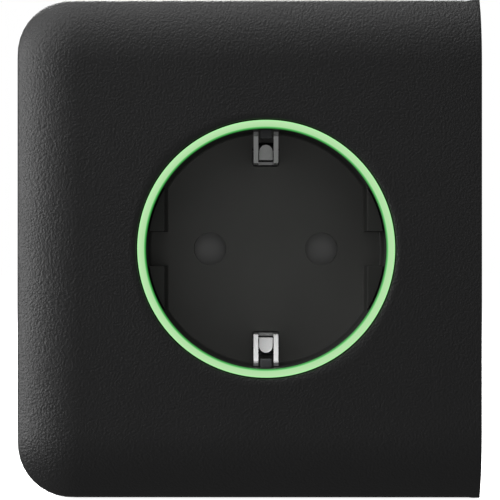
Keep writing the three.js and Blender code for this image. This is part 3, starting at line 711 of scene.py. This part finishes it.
@dataclass
class Cover(Part):
    """The pillowed cover plate: rolled off at its top, left and bottom, cut straight on its right."""

    half: float = 40.8
    right: float = 35.0
    corner: float = 8.7
    front: float = -10.5
    back: float = -0.3
    hole: float = 21.12
    hole_round: float = 0.14  # how far the hole's rounded rim falls back
    span: float = 20.0  # about the distance from the hole to the outline
    roll: float = 10.5  # width of the rolled border
    steep: float = 0.62  # sine of the border's slope at the edge
    steepest: float = 0.97  # and at most at a corner
    edge_round: float = 0.7
    cut_round: float = 0.12
    wall: float = 2.0
    strap_front: float = -1.6  # where the right-hand wall stops, clear of the strap
    sides: int = 240
    flat_rings: tuple[float, ...] = (0.06, 0.2, 0.32)  # shares of the way out
    border_from: float = 0.42  # share from which the rings lie close together
    rings: int = 26
    hard_angle: float = 50.0  # degrees
    arm_x: float = 20.0
    arm_gap: float = 0.3
    # each arm's blade, foot and rib: half width, front past the plate, back, inside, outside, rounding
    arm: tuple[tuple[float, ...], ...] = (
        (3.0, -0.1, -0.6, 0.0, 1.4, 0.25), (3.6, -0.1, -7.0, -0.1, 1.9, 0.4),
        (0.5, 0.0, -2.4, 1.2, 2.2, 0.2),
    )

    def build(self) -> None:
        """Makes the plate and its four snap arms."""
        work = Work()
        bmesh.ops.create_circle(work.bm, segments=self.sides, radius=self.hole,
                                matrix=Matrix.Rotation(math.pi / 2, 4, "X"))
        for v in work.bm.verts:
            angle = self._angle(v.co)
            v.co = (self.hole * math.cos(angle), self.front + self.hole_round,
                    self.hole * math.sin(angle))
        edges = list(work.bm.edges)
        for share in self._shares():
            edges = self._grow(work, edges, lambda co, s=share: self._surface(co, s))
        self._grow(work, edges, lambda co: Vector((co.x, self._back_at(co), co.z)))
        corners = [e for v in {v for e in edges for v in e.verts} if self._is_corner(v.co)
                   for e in v.link_edges if self._runs_back(e)]
        cut = [e for e in edges if self._on_cut(e)]
        rolled = [e for e in edges if not self._on_cut(e)]
        bmesh.ops.recalc_face_normals(work.bm, faces=work.bm.faces[:])
        work.bevel(cut + corners, self.cut_round, 2)
        work.bevel([e for e in rolled if e.is_valid], self.edge_round, 5)
        self._face_outwards(work)
        plate = work.piece("cover_shell")
        smooth(plate, self.hard_angle)
        skin = plate.modifiers.new("wall", "SOLIDIFY")
        skin.thickness = self.wall * MM
        skin.offset = -1.0
        skin.use_even_offset = True
        skin.use_quality_normals = True
        self.finishes.dress(plate, "cover_black")
        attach(plate, "cover")
        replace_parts(plate, "cover_plate")
        self._arms()

    def _shares(self) -> list[float]:
        """How far out each ring of the plate lies, from 0 at the hole to 1 at the outline."""
        rim, first = self.hole_round / self.span, self.border_from
        border = [first + (1 - first) * k / self.rings for k in range(self.rings + 1)]
        return [rim / 4, rim, *self.flat_rings, *border]

    def _grow(self, work: Work, edges: list[bmesh.types.BMEdge],
              place: Callable[[Vector], Vector]) -> list[bmesh.types.BMEdge]:
        """Extrudes a loop of edges and places each new corner."""
        made = bmesh.ops.extrude_edge_only(work.bm, edges=edges)["geom"]
        for v in (g for g in made if isinstance(g, bmesh.types.BMVert)):
            v.co = place(v.co.copy())
        return [g for g in made if isinstance(g, bmesh.types.BMEdge) and not self._is_spoke(g)]

    @staticmethod
    def _is_spoke(edge: bmesh.types.BMEdge) -> bool:
        """True for an edge that joins one ring to the next."""
        return len(edge.link_faces) == 2

    @staticmethod
    def _runs_back(edge: bmesh.types.BMEdge) -> bool:
        """True for an edge that runs back along the side wall."""
        return abs((edge.verts[0].co - edge.verts[1].co).y) > 1.0

    def _angle(self, co: Vector) -> float:
        """A point's angle round the plug's axis, moved so that the square corners fall on points."""
        angle = math.atan2(co.z, co.x)
        step = 2 * math.pi / self.sides
        corner = math.atan2(self.half, self.right)
        nearest = round(corner / step) * step
        size = abs(angle)
        if size <= nearest:
            return angle * corner / nearest
        left = (math.pi - size) * (math.pi - corner) / (math.pi - nearest)
        return math.copysign(math.pi - left, angle)

    def _reach(self, angle: float) -> float:
        """The distance from the plug's axis to the plate's outline at an angle."""
        c, s = math.cos(angle), abs(math.sin(angle))
        nothing = 1e-9
        side = (self.right if c > 0 else -self.half) / c if abs(c) > nothing else math.inf
        end = self.half / s if s > nothing else math.inf
        reach = min(side, end)
        centre = self.half - self.corner
        if c < 0 and reach * -c > centre and reach * s > centre:
            along = centre * (-c) + centre * s
            reach = along + math.sqrt(along**2 - 2 * centre**2 + self.corner**2)
        return reach

    def _surface(self, co: Vector, share: float) -> Vector:
        """A point of the front surface, at the angle of a point of the ring inside it."""
        angle = math.atan2(co.z, co.x)
        radius = self.hole + share * (self._reach(angle) - self.hole)
        x, z = radius * math.cos(angle), radius * math.sin(angle)
        rim = self.hole_round * max(0.0, 1 - share * self.span / self.hole_round) ** 2
        return Vector((x, self.front + rim + self._fall(x, z), z))

    def _fall(self, x: float, z: float) -> float:
        """How far the rolled border has fallen back at a point of the plate."""
        inner = self.half - self.roll
        across = max(0.0, -x - inner) / self.roll
        up = max(0.0, abs(z) - inner) / self.roll
        slope = min(self.steepest, self.steep * math.hypot(across, up))
        return self.roll / self.steep * (1 - math.sqrt(1 - slope**2))

    def _back_at(self, co: Vector) -> float:
        """Where the side wall ends below a point of the outline."""
        return self.strap_front if co.x > self.right - ON_EDGE else self.back

    def _on_cut(self, edge: bmesh.types.BMEdge) -> bool:
        """True for an edge along the straight cut."""
        return all(v.co.x > self.right - ON_EDGE for v in edge.verts)

    def _is_corner(self, co: Vector) -> bool:
        """True at the two square corners of the cut."""
        return co.x > self.right - ON_EDGE and abs(co.z) > self.half - ON_EDGE

    def _face_outwards(self, work: Work) -> None:
        """Makes the skin's faces point out of the plate."""
        front = max(work.bm.faces, key=lambda f: f.calc_area() * (abs(f.normal.y) > 0.99))
        if front.normal.y > 0:
            bmesh.ops.reverse_faces(work.bm, faces=work.bm.faces[:])

    def _arms(self) -> None:
        """The snap arms that grip the strap's top and bottom edges."""
        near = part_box("mounting_strap")[1].z / MM + self.arm_gap
        plate = self.front + self.wall
        for number, (side, end) in enumerate(((-1, 1), (1, 1), (-1, -1), (1, -1)), start=1):
            x = side * self.arm_x
            work = Work()
            for half, past, back, inside, outside, round_by in self.arm:
                work.box((x - half, plate + past, near + inside), (x + half, back, near + outside),
                         round_by)
            work.move(Matrix.Diagonal((1.0, 1.0, float(end), 1.0)))
            bmesh.ops.recalc_face_normals(work.bm, faces=work.bm.faces[:])
            self.add(work, f"cover_snap_arm_{number}", "cover_black", "cover")


# ---------------------------------------------------------------- the ring, the well and the shutter


@dataclass
class LightRing(Part):
    """The light guide round the well."""

    face: float = -10.6
    outer: float = 20.9
    face_inner: float = 19.85
    bore: float = 19.5
    chamfer_end: float = -9.9
    bore_end: float = -6.6
    flange: float = 23.0
    flange_front: float = -7.7
    flange_back: float = -5.6
    skirt: float = 20.7
    edge: float = 0.12  # rounding of the outer edge
    lip: Point = (0.08, 0.02)  # and of the inner edge
    sides: int = 180

    def build(self) -> None:
        """Makes the ring."""
        r = self.edge
        profile = [
            (self.face_inner, self.face + self.lip[1]), (self.face_inner + self.lip[0], self.face),
            (self.outer - r, self.face), (self.outer - r * 0.3, self.face + r * 0.3),
            (self.outer, self.face + r), (self.outer, self.flange_front),
            (self.flange, self.flange_front), (self.flange, self.flange_back),
            (self.skirt, self.flange_back), (self.skirt, self.bore_end),
            (self.bore, self.bore_end), (self.bore, self.chamfer_end),
        ]
        turned = Work().spun(profile, Axis.Y, (0.0, 0.0, 0.0), self.sides)
        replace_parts(self.add(turned, "light_guide_ring", "light_guide"), "light_ring")


@dataclass
class Well(Part):
    """The plug well, the shutter behind its pin holes and the shutter's spring."""

    # the plastic that closes each earth slot outside the tongue's tip
    web: Point = (18.2, 20.4)
    web_half: float = 0.95
    web_front: float = -6.2
    web_back: float = -3.4
    web_round: float = 0.1
    # each CAD node's new name, finish and rounding
    plan: dict[str, tuple[str, str, float]] = field(default_factory=lambda: {
        "socket_well": ("plug_well", "well_black", 0.12),
        "shutter_rotor": ("shutter_disc", "shutter_grey", 0.1),
        "shutter_spring": ("shutter_hairspring", "screw_steel", 0.08),
    })

    def build(self) -> None:
        """Makes the well, the rotor, the spring and the webs."""
        for node, (name, finish, width) in self.plan.items():
            self.finishes.dress(refined(node, name, width), finish)
        for name, end in (("top", 1.0), ("bottom", -1.0)):
            low, high = sorted((end * self.web[0], end * self.web[1]))
            web = Work().box((-self.web_half, self.web_front, low),
                             (self.web_half, self.web_back, high), self.web_round)
            self.add(web, f"earth_slot_web_{name}", "housing_grey")


# ---------------------------------------------------------------- screws


@dataclass(frozen=True)
class ScrewKind:
    """One kind of slotted screw."""

    axis: Axis
    head: float  # the head's height
    shank: float  # the thread's outer radius
    plain: float  # length of plain shank below the head
    pitch: float = 0.5


@dataclass
class Screws(Part):
    """The slotted screws, each a turned head with a driver slot and a threaded shank."""

    slot_width: float = 0.8
    slot_depth: float = 0.7
    groove: float = 0.24
    # the head's rounding, as shares of its radius and depths below its top
    crown: tuple[Point, ...] = ((0.6, 0.03), (0.88, 0.16), (1.0, 0.42))
    head_edge: float = 0.1
    sunk: float = 0.2  # how far the shank reaches into the head
    run_out: float = 0.3  # plain end past the thread
    point: float = 0.5  # length of the tapered tip
    past: float = 1.0  # how far the slot's cutter stands out
    kinds: dict[str, ScrewKind] = field(default_factory=lambda: {
        "body_screw": ScrewKind(Axis.Y, 1.2, 1.0, 3.8),
        "claw_screw": ScrewKind(Axis.Y, 1.0, 1.25, 2.0),
        "terminal_screw": ScrewKind(Axis.Z, 1.6, 1.5, 0.4),
    })

    def build(self) -> None:
        """Makes every screw of the record."""
        for name, kind in self.kinds.items():
            for node in sorted(n for n in frame["nodes"] if n.startswith(name)):
                self._screw(node, kind)

    def _screw(self, node: str, kind: ScrewKind) -> None:
        """Makes one screw in the place of its CAD node."""
        low, high = (Vector(corner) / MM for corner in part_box(node))
        middle = (low + high) / 2
        if kind.axis is Axis.Y:
            at, top, tip = Vector((middle.x, 0, middle.z)), low.y, high.y
        else:
            at, top, tip = Vector((middle.x, middle.y, 0)), low.z, high.z
        radius = (high.x - low.x) / 2
        under = top + kind.head
        body = frame["nodes"][node]["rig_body"]
        crown = [(radius * share, top + depth) for share, depth in self.crown]
        head = Work().spun([
            (0.0, top), *crown, (radius, under - self.head_edge), (radius - self.head_edge, under),
            (0.0, under),
        ], kind.axis, at, 48).piece(node + "_head")
        reach, half = radius + self.past, self.slot_width / 2
        cutter = [(-reach, -half, top - self.past), (reach, half, top + self.slot_depth)]
        if kind.axis is Axis.Y:
            cutter = [(x, along, across) for x, across, along in cutter]
        carve(head, Work().box(*(at + Vector(corner) for corner in cutter)))
        root, thread_from = kind.shank - self.groove, under + kind.plain
        shank = Work().spun([
            (0.0, under - self.sunk), (kind.shank, under - self.sunk), (kind.shank, thread_from),
            (root, thread_from + 0.2), (root, tip - self.point), (root * 0.6, tip), (0.0, tip),
        ], kind.axis, at)
        shank.thread(kind.axis, at, thread_from, tip - self.run_out, kind.shank,
                     self.groove + 0.02, kind.pitch)
        threaded = shank.piece(node + "_shank")
        for piece in (head, threaded):
            self.finishes.dress(piece, "screw_steel")
            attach(piece, body)
        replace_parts(head, node)


# ---------------------------------------------------------------- moulded and mounted details


@dataclass
class HousingDetails(Part):
    """What is moulded onto the rear housing: its joint, its collar, crush ribs and wire funnels."""

    radius: float = 26.5
    flat: float = 22.5
    joint: float = 27.0  # y of the lip where the housing's two halves meet
    collar: float = 1.0
    back: float = 38.0
    wire_x: tuple[float, ...] = (-8.5, 0.0, 8.5)
    wire_z: float = -11.1
    wire_hole: float = 1.9
    rib_ends: Point = (4.5, 24.5)
    rib_half: float = 0.35
    rib_stand: float = 0.3  # how far the ribs stand out
    rib_sunk: float = 0.4
    rib_round: float = 0.12
    rib_sweep: float = 72.0  # degrees that each set of ribs takes up
    rib_gaps: int = 6
    # profiles as distances past the housing's face and along y
    lip: tuple[Point, ...] = (
        (-0.3, -0.42), (0.16, -0.40), (0.24, -0.30), (0.24, 0.30), (0.16, 0.40), (-0.3, 0.42),
    )
    funnel: tuple[Point, ...] = (
        (0.0, -0.5), (0.0, -0.1), (0.55, 0.32), (1.0, 0.32), (1.15, 0.18), (1.15, -0.5),
    )

    def build(self) -> None:
        """Makes the lips, the ribs and the funnels."""
        for name, y in (("joint_lip", self.joint), ("front_collar", self.collar)):
            lip = [(stand, y + along) for stand, along in self.lip]
            self.add(Work().belt(self._reach, lip), "housing_" + name, "housing_grey")
        for end, turn in (("top", 0.0), ("bottom", math.pi)):
            ribs = Work().box((-self.rib_half, self.rib_ends[0], self.radius - self.rib_sunk),
                              (self.rib_half, self.rib_ends[1], self.radius + self.rib_stand),
                              self.rib_round)
            ribs.move(Matrix.Rotation(turn - math.radians(self.rib_sweep / 2), 4, "Y"))
            ribs.repeat_round(self.rib_sweep, self.rib_gaps)
            self.add(ribs, f"housing_ribs_{end}", "housing_grey")
        funnel = [(self.wire_hole + stand, self.back + along) for stand, along in self.funnel]
        for number, x in enumerate(self.wire_x, start=1):
            work = Work().spun(funnel, Axis.Y, (x, 0.0, self.wire_z), 48)
            self.add(work, f"housing_wire_funnel_{number}", "housing_grey")

    def _reach(self, angle: float) -> float:
        """The distance from the plug's axis to the housing's outline at an angle."""
        across = abs(math.cos(angle))
        return min(self.radius, self.flat / across) if across else self.radius


@dataclass(frozen=True)
class Block:
    """A small block on a board, or a pair of them mirrored in x = 0."""

    across: Point  # x from and to
    depth: Point  # y from and to
    at: float  # z of its middle
    half: float  # half its height
    round_by: float
    pair: bool = False

    def work(self) -> Work:
        """Models the block, or both of the pair."""
        made = Work()
        for side in (-1, 1) if self.pair else (1,):
            low, high = sorted((side * self.across[0], side * self.across[1]))
            made.box((low, self.depth[0], self.at - self.half),
                     (high, self.depth[1], self.at + self.half), self.round_by)
        return made


@dataclass
class LedDetails(Part):
    """The lit windows of the six LEDs, their solder and the resistors beside them."""

    count: int = 6
    # each set's block above the axis, finish and record slot
    plan: dict[str, tuple[Block, str, str]] = field(default_factory=lambda: {
        "led_windows": (Block((-0.85, 0.85), (-5.30, -5.15), 22.0, 0.5, 0.04),
                        "led_phosphor", "component_white"),
        "led_solder": (Block((1.35, 1.85), (-4.62, -4.35), 22.0, 0.6, 0.1, pair=True),
                       "screw_steel", "screw_steel"),
        "led_resistors": (Block((-0.8, 0.8), (-4.85, -4.38), 25.0, 0.4, 0.06),
                          "component_black", "component_black"),
        "led_resistor_caps": (Block((0.62, 1.05), (-4.87, -4.38), 25.0, 0.44, 0.08, pair=True),
                              "screw_steel", "screw_steel"),
    })

    def build(self) -> None:
        """Makes each set, turned about the plug's axis."""
        share = 360.0 / self.count
        for name, (block, finish, slot) in self.plan.items():
            work = block.work().move(Matrix.Rotation(math.radians(share / 2), 4, "Y"))
            self.add(work.repeat_round(360.0 - share, self.count - 1), name, finish, "base", slot)


@dataclass
class BoardDetails(Part):
    """What is mounted on the boards inside: solder joints, a chip, a taped winding and can ends."""

    copper_side: float = 30.2  # y of the main board's rear face
    # a joint's profile, as radii and distances past the board
    joint: tuple[Point, ...] = (
        (0.0, 0.4), (0.165, 0.4), (0.3025, 0.16), (0.55, 0.0), (0.0, -0.05),
    )
    joints: tuple[Point, ...] = (
        (-15.0, -2.0), (-11.0, -2.0), (11.0, -2.0), (15.0, -2.0), (-16.5, 8.0), (-16.5, 14.0),
        (-9.0, 19.5), (-4.5, 19.5), (15.5, 7.0), (15.5, 11.0), (15.5, 15.0), (-18.0, 2.0),
    )
    chip: Block = Block((4.2, 8.8), (30.2, 31.2), -2.9, 1.7, 0.12)
    legs: int = 4
    leg_from: float = 4.7  # x of the first leg
    leg_pitch: float = 1.2
    leg_half: float = 0.2
    leg_thickness: float = 0.25
    leg_round: float = 0.05
    leg_rows: tuple[Point, ...] = ((-5.3, -4.5), (-1.3, -0.5))  # z from and to
    tape_inset: float = 0.2  # share of the transformer's width
    tape_stand: Point3 = (0.2, 0.3, 0.35)  # in at the front, out at the back, out at the ends
    tape_round: float = 0.3
    # a can's end, as shares of its radius and distances past its end
    can_end: tuple[Point, ...] = (
        (0.0, 0.04), (0.62, 0.04), (0.7, 0.12), (0.86, 0.08), (0.9, -0.3), (0.0, -0.3),
    )
    can_sides: dict[str, float] = field(default_factory=lambda: {
        "input_capacitor": -1.0, "output_capacitor": 1.0})

    def build(self) -> None:
        """Makes the joints, the chip, the winding and the cans' ends."""
        joints = Work()
        profile = [(radius, self.copper_side + past) for radius, past in self.joint]
        for x, z in self.joints:
            joints.spun(profile, Axis.Y, (x, 0.0, z), 12)
        self.add(joints, "board_solder_joints", "screw_steel")
        self.add(self.chip.work(), "control_chip", "component_black")
        legs = Work()
        for k in range(self.legs):
            x = self.leg_from + k * self.leg_pitch
            for low, high in self.leg_rows:
                legs.box((x - self.leg_half, self.copper_side, low),
                         (x + self.leg_half, self.copper_side + self.leg_thickness, high),
                         self.leg_round)
        self.add(legs, "control_chip_legs", "screw_steel")
        self._winding()
        for node, side in self.can_sides.items():
            self._can_end(node, side)

    def _winding(self) -> None:
        """The transformer's taped winding, which stands a little out of its core."""
        low, high = (Vector(corner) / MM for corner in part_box("transformer"))
        inset = (high.x - low.x) * self.tape_inset
        front, back, ends = self.tape_stand
        tape = Work().box((low.x + inset, low.y + front, low.z - ends),
                          (high.x - inset, high.y + back, high.z + ends), self.tape_round)
        self.add(tape, "transformer_tape", "led_phosphor", "base", "component_white")

    def _can_end(self, node: str, side: float) -> None:
        """The bare metal end of a can, with its rolled rim."""
        low, high = (Vector(corner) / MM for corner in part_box(node))
        middle = (low + high) / 2
        radius = (high.y - low.y) / 2
        end = high.x if side > 0 else low.x
        profile = [(radius * share, end + side * past) for share, past in self.can_end]
        rim = Work().spun(profile, Axis.X, (0.0, middle.y, middle.z))
        self.add(rim, node + "_end", "shield_metal")


@dataclass
class CoverRibs(Part):
    """The stiffening ribs moulded inside the cover's walls."""

    half: float = 0.5
    inner: float = 27.5
    step: float = 35.5
    outer: float = 38.9
    deep: Point = (-8.7, -4.6)
    shallow: Point = (-6.9, -4.6)
    top_at: tuple[float, ...] = (-28.0, -10.0, 0.0, 10.0, 28.0)
    side_at: tuple[float, ...] = (-24.0, -12.0, 12.0, 24.0)
    round_by: float = 0.1

    def build(self) -> None:
        """Makes the ribs of the top, the bottom and the left side."""
        work = Work()
        for x in self.top_at:
            for end in (-1, 1):
                for near, far, (front, back) in self._steps(end):
                    work.box((x - self.half, front, near), (x + self.half, back, far), self.round_by)
        for z in self.side_at:
            for near, far, (front, back) in self._steps(-1):
                work.box((near, front, z - self.half), (far, back, z + self.half), self.round_by)
        self.add(work, "cover_ribs", "cover_black", "cover")

    def _steps(self, end: int) -> list[tuple[float, float, Point]]:
        """The two steps of a rib that runs outwards towards an end: from, to, and the depths."""
        steps = []
        for near, far, depths in ((self.inner, self.step, self.deep),
                                  (self.step, self.outer, self.shallow)):
            low, high = sorted((end * near, end * far))
            steps.append((low, high, depths))
        return steps


# ---------------------------------------------------------------- pieces refined from the frame


@dataclass
class Refined(Part):
    """The pieces whose CAD shape is right and only needs finer edges and a finish."""

    small_round: float = 0.1
    terminal_round: float = 0.12
    # each node's finish and rounding
    plan: dict[str, tuple[str, float]] = field(default_factory=lambda: {
        "mounting_strap": ("strap_steel", 0.15),
        "claw_right": ("strap_steel", 0.15),
        "claw_left": ("strap_steel", 0.15),
        "earth_bracket": ("contact_steel", 0.06),
        "earth_tongue_top": ("contact_steel", 0.06),
        "earth_tongue_bottom": ("contact_steel", 0.06),
        "rear_housing": ("housing_grey", 0.4),
        "contact_carrier": ("insulator_grey", 0.25),
        "terminal_block": ("terminal_grey", 0.12),
        "led_board": ("led_board_white", 0.05),
        "main_board": ("circuit_board", 0.08),
        "radio_board": ("circuit_board", 0.05),
        "radio_shield": ("shield_metal", 0.12),
        "relay": ("component_black", 0.3),
        "transformer": ("component_black", 0.3),
        "input_capacitor": ("component_blue", 0.4),
        "output_capacitor": ("component_blue", 0.4),
        "varistor": ("component_blue", 0.6),
        "fuse": ("component_white", 0.3),
        "ribbon_connector": ("component_white", 0.12),
        "led_ribbon": ("component_white", 0.05),
        "live_contact": ("contact_brass", 0.1),
        "neutral_contact": ("contact_brass", 0.1),
        "live_busbar": ("contact_brass", 0.1),
        "neutral_busbar": ("contact_brass", 0.1),
        "earth_busbar": ("contact_brass", 0.1),
    })

    def build(self) -> None:
        """Makes each piece."""
        for node, (finish, width) in self.plan.items():
            self._one(node, finish, width)
        for number in range(1, 7):
            self._one(f"led_{number}", "component_white", self.small_round)
        for side in ("live", "neutral"):
            for leaf in ("a", "b"):
                self._one(f"{side}_leaf_{leaf}", "contact_brass", self.small_round)
        for number in range(1, 4):
            self._one(f"terminal_cage_{number}", "contact_brass", self.terminal_round)
            self._one(f"clamp_plate_{number}", "screw_steel", self.terminal_round)

    def _one(self, node: str, finish: str, width: float) -> None:
        """Makes one piece, named after its node."""
        self.finishes.dress(refined(node, node + "_fine", width), finish)


# ---------------------------------------------------------------- the studio


@dataclass
class Studio:
    """The camera, the floor and the soft light."""

    lens: float = 151.0
    camera_at: Point3 = (-1.42, -350.5, -0.2)
    aim: Point3 = (-2.62, -10.5, -0.2)
    floor_gap: float = 0.3
    floor_half: float = 3000.0
    floor_glow: float = 0.92
    below: float = 0.25  # the backdrop's strength as light from below and from above
    above: float = 0.11
    horizon: float = 0.25  # how far past level it changes
    # each softbox's place, side and power
    lamps: dict[str, tuple[Point3, float, float]] = field(default_factory=lambda: {
        "side_left": ((-600, -110, 60), 400, 4.0),
        "corner": ((-430, -200, 430), 260, 1.3),
        "over": ((-60, -330, 560), 420, 0.36),
        "high": ((-60, -110, 620), 300, 1.4),
        "front": ((0, -520, 260), 260, 0.07),
        "back_left": ((-170, 460, 540), 360, 7.0),
        "back_right": ((300, 520, 420), 360, 5.0),
    })

    def build(self) -> None:
        """Sets up everything round the object."""
        self._camera()
        self._floor()
        self._world()
        for name, (at, size, watts) in self.lamps.items():
            self._area(name, at, size, watts)
        bpy.context.scene.view_settings.view_transform = "Standard"

    def _camera(self) -> None:
        """The square-on camera."""
        data = bpy.data.cameras.new("camera")
        data.lens = self.lens
        camera = bpy.data.objects.new("camera", data)
        bpy.context.scene.collection.objects.link(camera)
        camera.location = Vector(self.camera_at) * MM
        way = (Vector(self.aim) - Vector(self.camera_at)) * MM
        camera.rotation_euler = way.to_track_quat("-Z", "Y").to_euler()
        bpy.context.scene.camera = camera

    def _floor(self) -> None:
        """The plain pale floor just under the object."""
        level = CAD_BOX[0].z / MM - self.floor_gap
        bm = bmesh.new()
        bmesh.ops.create_grid(bm, x_segments=1, y_segments=1, size=self.floor_half * MM,
                              matrix=Matrix.Translation((0, 0, level * MM)))
        floor = as_object(bm, "floor")
        shader = Shader(bpy.data.materials.new("floor_paper"))
        mottle = shader.noise(scale=0.02)
        floor.data.materials.append(shader.surface({
            "Base Color": shader.blend(mottle, (0.82, 0.82, 0.82), (0.86, 0.86, 0.86)),
            "Roughness": 0.8,
            "Emission Color": WHITE,
            "Emission Strength": self.floor_glow,
        }))
        floor.visible_glossy = False
        floor.visible_diffuse = False

    def _world(self) -> None:
        """A white backdrop that lights the object only softly."""
        world = bpy.data.worlds.new("studio")
        bpy.context.scene.world = world
        shader = Shader(world)
        way = shader.node("SeparateXYZ", None, {0: shader.node("TexCoord").outputs["Generated"]})
        height = shader.node("MapRange", None, {
            "Value": way.outputs["Z"], "From Min": -self.horizon, "From Max": self.horizon,
            "To Min": self.below, "To Max": self.above,
        })
        light = shader.node("Background", None, {"Color": WHITE, "Strength": height.outputs[0]})
        seen = shader.node("Background", None, {"Color": WHITE, "Strength": 1.0})
        mix = shader.node("MixShader", None, {
            "Fac": shader.node("LightPath").outputs["Is Camera Ray"], 1: light.outputs[0],
            2: seen.outputs[0],
        })
        shader.node("OutputWorld", None, {0: mix.outputs[0]})

    def _area(self, name: str, at: Sequence[float], size: float, watts: float) -> None:
        """One square softbox that faces the object."""
        data = bpy.data.lights.new(name, "AREA")
        data.size = size * MM
        data.energy = watts
        lamp = bpy.data.objects.new(name, data)
        bpy.context.scene.collection.objects.link(lamp)
        lamp.location = Vector(at) * MM
        lamp.visible_camera = False
        lamp.rotation_euler = (-lamp.location).to_track_quat("-Z", "Y").to_euler()


def main() -> None:
    """Builds the socket, sub-assembly by sub-assembly, and its studio."""
    logging.basicConfig(level=logging.INFO, format="%(message)s")
    finishes = Finishes()
    Studio().build()
    for part in (Cover, CoverRibs, LightRing, LedDetails, Well, Screws, HousingDetails,
                 BoardDetails, Refined):
        part(finishes).build()
        LOG.info("built %s", part.__name__)


if __name__ == "__main__":
    main()
